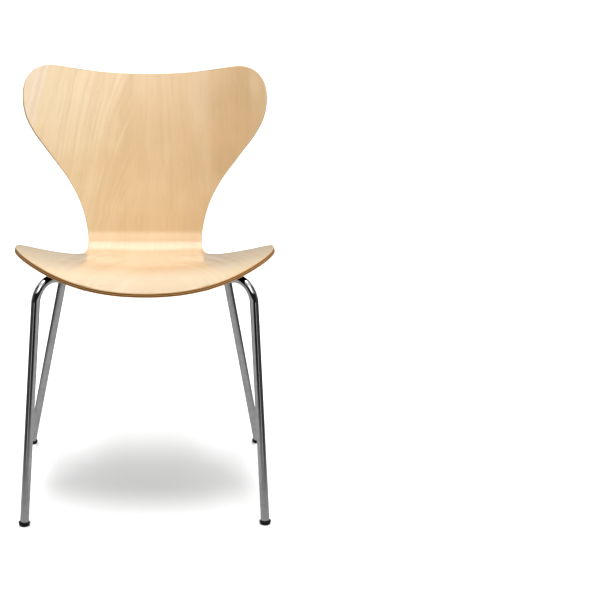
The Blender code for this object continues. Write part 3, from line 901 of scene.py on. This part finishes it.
def veneer_material():
    """Lacquered beech face veneer. Its figure runs along the shell, so it follows the bend."""
    material, n, shader = new_material(
        "beech_veneer", Coat_Weight=1.0, Coat_Roughness=0.18, Coat_IOR=1.50
    )
    x, s, depth = veneer_place(n)
    # The two faces are different sheets: the noises' third part differs between them.
    sheet = n.times(depth, SHEET_CHANGE)

    # The figure leans on the sitter's right and stands straight on the left.
    lean = n.spread(x, -0.19, 0.06, FIGURE_LEAN, 0.0)
    lean_by = n.times(lean, n.math("SUBTRACT", s, FIGURE_UPRIGHT_S))
    straight = n.math("SUBTRACT", x, lean_by)
    drift = n.math("SUBTRACT", n.figure((x, s, sheet), (5.0, 4.0, 1.0), detail=3.0), 0.5)
    figure_x = n.math("ADD", straight, n.times(drift, FIGURE_DRIFT))
    figured = (figure_x, s, sheet)
    plain = (x, s, sheet)

    # Leaves: one pale leaf past a seam on the right wing, and slow changes of tone across the rest,
    # which darken towards +x partly as painted side shade.
    stops = [(share, srgb(*colour)) for share, colour in VENEER_TONES_AND_SIDE_SHADE]
    tone = n.ramp(n.spread(figure_x, -0.25, 0.25, smooth=False), stops)
    pale_leaf = n.spread(straight, *SEAM, 0.80, 0.0)
    tone = n.mix(pale_leaf, tone, srgb(251, 232, 204))

    # Growth bands.
    bands = n.figure(figured, (70.0, 2.2, 1.0), detail=4.0, roughness=0.6)
    tone = n.tint(tone, srgb(208, 164, 112), bands, 0.42, 0.70, 0.20)
    broad = n.figure(figured, (19.0, 2.4, 1.0))
    tone = n.tint(tone, srgb(250, 229, 193), broad, 0.50, 0.74, 0.26)

    # On the sitter's right, the long limbs of a leaf that was cut flat: its rings run in arches
    # about a line near the middle and peak above the back's top edge. The seat has wider ones.
    from_arch = n.math("SUBTRACT", n.math("ADD", x, n.times(drift, ARCH_DRIFT)), ARCH_X)
    ring = n.math("ADD", n.times(from_arch, from_arch, ARCH_DEPTH), s)
    limb_area = n.times(
        n.spread(x, -0.060, -0.005, 1.0, 0.0),
        n.spread(x, -0.195, -0.160),
        n.spread(s, 0.44, 0.62, 0.40),
    )
    off_middle = n.spread(n.math("ABSOLUTE", from_arch), 0.02, 0.06)
    seat_area = n.times(n.spread(s, 0.28, 0.40, 1.0, 0.0), off_middle)
    limb_area = n.math("MAXIMUM", limb_area, n.times(seat_area, 0.55))
    wide_rings = n.figure((ring, x, sheet), (15.0, 6.0, 1.0), detail=3.0)
    wide_share = n.times(n.spread(wide_rings, 0.44, 0.62, 0.0, 0.38), seat_area)
    tone = n.mix(wide_share, tone, srgb(254, 236, 200))
    limbs = n.figure((ring, x, sheet), (38.0, 7.0, 1.0), detail=3.0, roughness=0.6)
    pale_limbs = n.times(n.spread(limbs, 0.52, 0.62, 0.0, 0.34), limb_area)
    tone = n.mix(pale_limbs, tone, srgb(253, 234, 200))
    dark_limbs = n.times(n.spread(limbs, 0.38, 0.46, 0.16, 0.0), limb_area)
    tone = n.mix(dark_limbs, tone, srgb(214, 172, 120))

    # Warmer wood in clouds, a pale haze, fine pore lines and the short dark flecks of beech.
    cloud = n.figure(plain, (8.0, 7.0, 1.0), detail=3.0)
    tone = n.tint(tone, srgb(237, 197, 148), cloud, 0.44, 0.62, 0.40)
    haze = n.figure((x, s, n.math("ADD", sheet, 3.0)), (14.0, 9.0, 1.0))
    tone = n.tint(tone, srgb(250, 226, 182), haze, 0.50, 0.70, 0.22)
    lines = n.figure(figured, (1100.0, 22.0, 1.0))
    tone = n.tint(tone, srgb(192, 146, 98), lines, 0.45, 0.75, 0.16)
    flecks = n.figure(figured, (1500.0, 260.0, 1.0), detail=1.0)
    fleck_share = n.spread(flecks, 0.67, 0.77, 0.0, 0.45)
    tone = n.mix(fleck_share, tone, srgb(158, 108, 66))

    # Painted light: paler wood near the seat's front edge is a painted highlight where the front
    # slopes towards the lamps, and a yellower, brighter tone on the seat's sides stands in for light
    # the wings lack.
    painted_front_highlight = n.times(n.spread(s, 0.085, 0.165, 0.60, 0.0), n.spread(s, 0.0, 0.07, 0.5))
    tone = n.mix(painted_front_highlight, tone, srgb(252, 238, 214))
    # Painted light on the seat's sides.
    sides = n.spread(n.math("ABSOLUTE", x), 0.11, 0.22, 0.0, 0.50)
    painted_side_light = n.times(sides, n.spread(s, 0.30, 0.40, 1.0, 0.0))
    tone = n.mix(painted_side_light, tone, srgb(250, 214, 154))

    sheen = n.figure(plain, (60.0, 18.0, 1.0), detail=3.0)
    roughness = n.spread(sheen, 0.3, 0.7, 0.36, 0.47)
    relief = n.math("SUBTRACT", lines, fleck_share)
    n.finish(shader, tone, roughness, relief, 0.25, 0.00008)
    return material


def ply_edge_material():
    """The laminate's edge: thin pale face plies, inner plies of turning grain, dark glue lines."""
    material, n, shader = new_material("ply_edge", Coat_Weight=0.15, Coat_Roughness=0.30)
    place = veneer_place(n)
    s, depth = place[1], place[2]
    waver = n.math("SUBTRACT", n.figure(place, (40.0, 40.0, 1.0)), 0.5)
    level = n.math("ADD", depth, n.times(waver, 0.0006))

    inner = (SHELL_THICKNESS - 2 * FACE_PLY) / INNER_PLIES
    ply = n.math("DIVIDE", n.math("SUBTRACT", level, FACE_PLY), inner)
    alternate = n.math("PINGPONG", n.math("FLOOR", ply), 1.0)
    tone = n.mix(alternate, srgb(222, 166, 96), srgb(112, 68, 30))
    within = n.math("ABSOLUTE", n.math("SUBTRACT", n.math("FRACT", ply), 0.5))
    glue = n.spread(within, 0.40, 0.46, 0.0, 0.40)
    tone = n.mix(glue, tone, srgb(92, 60, 36))
    from_middle = n.math("ABSOLUTE", n.math("SUBTRACT", level, SHELL_THICKNESS / 2))
    face_starts = SHELL_THICKNESS / 2 - FACE_PLY
    face_ply = n.spread(from_middle, face_starts - 0.0001, face_starts)
    tone = n.mix(face_ply, tone, srgb(232, 200, 156))

    speckle = n.figure(place, (900.0, 900.0, 2600.0), detail=3.0, roughness=0.65)
    tone = n.tint(tone, srgb(112, 70, 36), speckle, 0.42, 0.72, 0.45)
    # Painted light: the waist's and the back's edge is paler than the seat's, lifting the shade
    # those edges fall into.
    tone = n.tint(tone, srgb(240, 210, 164), s, 0.36, 0.50, 0.60)
    roughness = n.spread(speckle, 0.3, 0.7, 0.42, 0.60)
    relief = n.math("SUBTRACT", n.times(speckle, 0.6), glue)
    n.finish(shader, tone, roughness, relief, 0.5, 0.0002)
    return material


def block_material():
    """Raw birch plywood: a plain face with open grain, and layers up its side."""
    material, n, shader = new_material("block_birch")
    place = object_place(n)
    x, y, z = n.split(place)
    waver = n.times(n.noise(place, scale=45.0), 0.0005)
    ply = n.math("DIVIDE", n.math("ADD", z, waver), BLOCK_PLY)
    alternate = n.math("PINGPONG", n.math("FLOOR", ply), 1.0)
    tone = n.mix(alternate, srgb(205, 170, 126), srgb(168, 128, 88))
    grain = n.figure((x, y, ply), (240.0, 14.0, 1.0), detail=3.0)
    tone = n.tint(tone, srgb(150, 112, 74), grain, 0.4, 0.7, 0.5)
    n.finish(shader, tone, n.spread(grain, 0.3, 0.7, 0.55, 0.75), grain, 0.3, 0.0003)
    return material


def chrome_material():
    """Polished chrome on drawn tube: a faint haze, fine wipe marks and a hint of waviness."""
    material, n, shader = new_material("polished_chrome", Metallic=1.0)
    place = object_place(n)
    haze = n.noise(place, scale=70.0, detail=4.0)
    wipes = n.figure(n.split(place), (1800.0, 1800.0, 90.0))
    clear, dim = (0.70, 0.705, 0.71, 1.0), (0.62, 0.625, 0.63, 1.0)
    tone = n.mix(n.spread(haze, 0.35, 0.70), clear, dim)
    hazy = n.spread(haze, 0.3, 0.7, 0.045, 0.085)
    roughness = n.math("ADD", hazy, n.spread(wipes, 0.60, 0.75, 0.0, 0.05))
    ripple = n.noise(place, scale=38.0, detail=1.0)
    n.finish(shader, tone, roughness, ripple, 0.12, 0.0006)
    return material


def zinc_material():
    """Zinc-plated steel with its faint crystalline patches."""
    material, n, shader = new_material("zinc_plate", Metallic=1.0)
    place = object_place(n)
    cells = n.add("ShaderNodeTexVoronoi", {"Vector": place, "Scale": 320.0}).outputs["Color"]
    patch = n.noise(place, scale=120.0, detail=3.0)
    tone = n.mix(n.spread(patch, 0.3, 0.7), (0.56, 0.57, 0.60, 1.0), (0.68, 0.69, 0.70, 1.0))
    tone = n.mix(0.10, tone, cells)
    n.finish(shader, tone, n.spread(patch, 0.3, 0.7, 0.28, 0.46), patch, 0.2, 0.0001)
    return material


def moulded_material(name, low, high, shine, dull, grain, relief):
    """Moulded black plastic or rubber with a fine matt skin and worn, greyer patches."""
    material, n, shader = new_material(name, Specular_IOR_Level=0.22)
    place = object_place(n)
    skin = n.noise(place, scale=grain, detail=2.0)
    wear = n.noise(place, scale=95.0, detail=4.0)
    tone = n.mix(n.spread(wear, 0.40, 0.75), low, high)
    n.finish(shader, tone, n.spread(wear, 0.30, 0.75, shine, dull), skin, 0.35, relief)
    return material


# --- Stage ---


def stage_material(name):
    """A material for the stage, with an empty node tree to fill."""
    material = bpy.data.materials.new(name)
    material.use_nodes = True
    material.node_tree.nodes.clear()
    return material, Nodes(material.node_tree)


def leave_to_reflections(obj):
    """Hides obj from everything but reflections."""
    for ray in ("camera", "diffuse", "shadow", "transmission"):
        setattr(obj, f"visible_{ray}", False)


def mirrored_floor_glow(n, x, y):
    """How bright polished metal sees the floor: a pale pool, and two stripes towards the viewer."""
    stops = [(share, grey(level)) for share, level in MIRRORED_FLOOR]
    pool = n.split(n.ramp(n.spread(y, -3.0, 3.0, smooth=False), stops))[0]
    aside = n.math("ABSOLUTE", x)
    pool = n.times(pool, n.spread(aside, 0.24, 1.05, 1.0, 0.15))
    in_front = n.math("MAXIMUM", n.times(y, -1.0), 0.05)
    bearing = n.math("DIVIDE", aside, in_front)
    stripe = n.times(
        n.spread(bearing, 0.44, 0.50),
        n.spread(bearing, 0.76, 0.84, 1.0, 0.0),
        n.spread(y, -0.90, -0.50, 0.40, 0.0),
    )
    edge_glow = n.math("ADD", n.spread(bearing, 0.45, 0.65, 0.0, 0.050), stripe)
    return n.math("MAXIMUM", pool, edge_glow)


def make_floor():
    """White floor, clear from below. It throws little light back, and metal sees a glow in it."""
    half = FLOOR_HALF_WIDTH
    corners = [(-half, -half, 0.0), (half, -half, 0.0), (half, half, 0.0), (-half, half, 0.0)]
    floor = link_object("floor", make_mesh("floor", corners, [(0, 1, 2, 3)]))
    material, n = stage_material("studio_floor")
    x, y = n.split(object_place(n))[:2]
    white = n.add("ShaderNodeBsdfDiffuse", {"Color": grey(FLOOR_WHITE)}).outputs[0]
    reach = n.math("SQRT", n.math("ADD", n.times(x, x), n.times(y, y)))
    thrown_back = n.ramp(reach, ((0.50, grey(0.02)), (1.00, grey(0.18))))
    dull = n.add("ShaderNodeBsdfDiffuse", {"Color": thrown_back}).outputs[0]
    glow = n.add("ShaderNodeEmission", {"Strength": mirrored_floor_glow(n, x, y)}).outputs[0]
    path = n.add("ShaderNodeLightPath").outputs
    unseen = n.mix_shaders(path["Is Glossy Ray"], dull, glow)
    from_above = n.mix_shaders(path["Is Camera Ray"], unseen, white)
    clear = n.add("ShaderNodeBsdfTransparent").outputs[0]
    from_below = n.add("ShaderNodeNewGeometry").outputs["Backfacing"]
    surface = n.mix_shaders(from_below, from_above, clear)
    n.add("ShaderNodeOutputMaterial", {"Surface": surface})
    floor.data.materials.append(material)
    return floor


def make_painted_reflection_board():
    """Painted reflection: a low upright board in front of the chair that glows grey, and that only
    the polished legs show.
    """
    (near, far), high = REFLECTION_BOARD_Y, REFLECTION_BOARD_HEIGHT
    corners = [(0.0, near, 0.0), (0.0, far, 0.0), (0.0, far, high), (0.0, near, high)]
    board = link_object("painted_reflection_board", make_mesh("painted_reflection_board", corners, [(0, 1, 2, 3)]))
    material, n = stage_material("painted_reflection_glow")
    glow = n.add("ShaderNodeEmission", {"Color": (0.42, 0.42, 0.43, 1.0)}).outputs[0]
    n.add("ShaderNodeOutputMaterial", {"Surface": glow})
    board.data.materials.append(material)
    leave_to_reflections(board)


def make_painted_shade_sheet(shape):
    """Painted shade: a black sheet just under the seat's front corners, which only the polished arms
    show, in place of the shaded underside they would mirror.
    """
    upper = SHELL_THICKNESS + SHADE_SHEET_CLEARANCE
    mesh = shell_mesh("painted_shade_sheet", shape, upper, upper + SHADE_SHEET_THICKNESS, SHADE_SHEET_THICKNESS / 4)
    edit = bmesh.new()
    edit.from_mesh(mesh)
    away = []
    for face in edit.faces:
        middle = face.calc_center_median()
        elsewhere = abs(middle.x) < SHADE_SHEET_INNER_X or middle.y > SHADE_SHEET_REAR_Y
        looks_down = face.normal.z < -0.5
        if elsewhere or not looks_down:
            away.append(face)
    bmesh.ops.delete(edit, geom=away, context="FACES")
    edit.to_mesh(mesh)
    edit.free()
    material, n = stage_material("painted_shade_black")
    black = n.add("ShaderNodeBsdfDiffuse", {"Color": grey(0.0)}).outputs[0]
    clear = n.add("ShaderNodeBsdfTransparent").outputs[0]
    from_above = n.add("ShaderNodeNewGeometry").outputs["Backfacing"]
    surface = n.mix_shaders(from_above, black, clear)
    n.add("ShaderNodeOutputMaterial", {"Surface": surface})
    mesh.materials.append(material)
    mesh.materials.append(material)
    painted_shade_sheet = link_object("painted_shade_sheet", mesh)
    leave_to_reflections(painted_shade_sheet)


def mirrored_studio(n, x, y, z):
    """What reflections see of the studio: softboxes, a bright rear, side strips, the rest dark."""
    aside = n.math("ABSOLUTE", x)
    overhead = n.spread(z, 0.80, 0.88, 0.0, 0.90)
    window = n.times(
        n.spread(z, 0.50, 0.56, 0.0, 2.4),
        n.spread(z, 0.80, 0.88, 1.0, 0.3),
        n.spread(y, -0.4, -0.1, 1.0, 0.0),
        n.spread(aside, 0.20, 0.34, 1.0, 0.15),
    )
    behind = n.spread(y, 0.0, 0.8, 0.0, 0.46)
    strips = n.spread(aside, 0.78, 0.90, 0.0, 0.04)
    boxes = n.math("MAXIMUM", n.math("MAXIMUM", overhead, window), behind)
    return n.math("ADD", boxes, n.math("ADD", strips, 0.016))


def plain_studio(n, x, y, z):
    """What lights all but the reflections: soft light from above, the sides, rear and front."""
    above = n.spread(z, 0.0, 1.0, 0.12, 0.20, smooth=False)
    behind = n.spread(y, -0.3, 0.5, 0.0, 0.60)
    front = n.spread(y, -0.9, 0.0, 0.76, 0.0)
    aside = n.spread(n.math("ABSOLUTE", x), 0.5, 1.0, 0.0, 0.36)
    return n.math("ADD", n.math("ADD", above, aside), n.math("ADD", behind, front))


def make_world():
    """A white studio. Polished metal and lacquer see its softboxes and its dark side instead."""
    world = bpy.data.worlds.new("studio")
    world.use_nodes = True
    bpy.context.scene.world = world
    world.node_tree.nodes.clear()
    n = Nodes(world.node_tree)
    x, y, z = n.split(n.add("ShaderNodeTexCoord").outputs["Generated"])
    path = n.add("ShaderNodeLightPath").outputs
    plain = n.math("MAXIMUM", plain_studio(n, x, y, z), path["Is Camera Ray"])
    inputs = {0: path["Is Glossy Ray"], 2: plain, 3: mirrored_studio(n, x, y, z)}
    light = n.add("ShaderNodeMix", inputs).outputs[0]
    shown = n.add("ShaderNodeBackground", {"Color": grey(1.0), "Strength": light}).outputs[0]
    n.add("ShaderNodeOutputWorld", {"Surface": shown})


def make_sun(name, direction, strength, width):
    """A soft lamp at a great distance, width degrees across, shining along direction."""
    lamp = bpy.data.lights.new(name, "SUN")
    lamp.energy = strength
    lamp.angle = math.radians(width)
    sun = link_object(name, lamp)
    sun.rotation_euler = Vector(direction).to_track_quat("-Z", "Y").to_euler()
    return sun


def make_lamps(floor):
    """Top light, lamps that light only the floor to keep the shadow compact, and a side softbox.

    The rearmost top lamp and the softbox leave no glare on the lacquer.
    """
    for name, slant in TOP_LAMPS:
        lamp = make_sun(name, (LAMP_ASIDE, slant, -1.0), TOP_LAMP_STRENGTH, TOP_LAMP_WIDTH)
        lamp.visible_glossy = name != "top_rear"
    floor_only = bpy.data.collections.new("floor_only")
    floor_only.objects.link(floor)
    for step, slant in enumerate(FLOOR_LAMP_SLANTS):
        direction = (LAMP_ASIDE, slant, -1.0)
        lamp = make_sun(f"floor_{step}", direction, FLOOR_LAMP_STRENGTH, FLOOR_LAMP_WIDTH)
        lamp.light_linking.receiver_collection = floor_only
    side = make_sun("side_softbox", SIDE_LAMP_DIRECTION, SIDE_LAMP_STRENGTH, SIDE_LAMP_WIDTH)
    side.visible_glossy = False


def make_camera():
    data = bpy.data.cameras.new("camera")
    data.lens = CAMERA_LENS
    data.sensor_width = CAMERA_SENSOR
    data.shift_x = CAMERA_SHIFT
    data.clip_start, data.clip_end = CAMERA_CLIP
    camera = link_object("camera", data)
    level = Matrix.Rotation(math.radians(90.0 - CAMERA_PITCH), 4, "X")
    turn = Matrix.Rotation(math.radians(-CAMERA_TURN), 4, "Y")
    camera.matrix_world = Matrix.Translation(CAMERA_PLACE) @ level @ turn
    bpy.context.scene.camera = camera


def build():
    make_camera()
    floor = make_floor()
    make_painted_reflection_board()
    make_world()
    make_lamps(floor)
    bpy.context.scene.view_settings.view_transform = "Standard"

    chrome, zinc = chrome_material(), zinc_material()
    plastic = moulded_material(
        "black_polyamide",
        low=(0.004, 0.004, 0.0045, 1.0),
        high=(0.014, 0.014, 0.015, 1.0),
        shine=0.34,
        dull=0.52,
        grain=2600.0,
        relief=0.00010,
    )
    rubber = moulded_material(
        "black_rubber_skin",
        low=(0.014, 0.014, 0.014, 1.0),
        high=(0.045, 0.044, 0.042, 1.0),
        shine=0.68,
        dull=0.85,
        grain=1500.0,
        relief=0.00015,
    )

    shape = ShellShape()
    hub = hub_matrix(shape)
    make_shell(shape, veneer_material(), ply_edge_material())
    make_painted_shade_sheet(shape)
    shell_space = make_shell_space(shape)
    lines = {}
    for end in ENDS:
        line = leg_line(FEET[end], CORNERS[end], hub)
        for side_name, side in SIDES:
            place = f"{end}_{side_name}"
            lines[place] = [mirrored(point, side) for point in line]
            make_leg(place, lines[place], chrome)
            make_buffer(place, line, BUFFER_X[end], side, shell_space, rubber)
            make_glide(place, FEET[end], CORNERS[end], side, plastic)
    make_block(hub, shell_space, block_material())
    make_cover(hub, lines, plastic)
    for name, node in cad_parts.items():
        if name.startswith(CARRIED_OVER):
            node.material_slots[0].material = zinc


build()
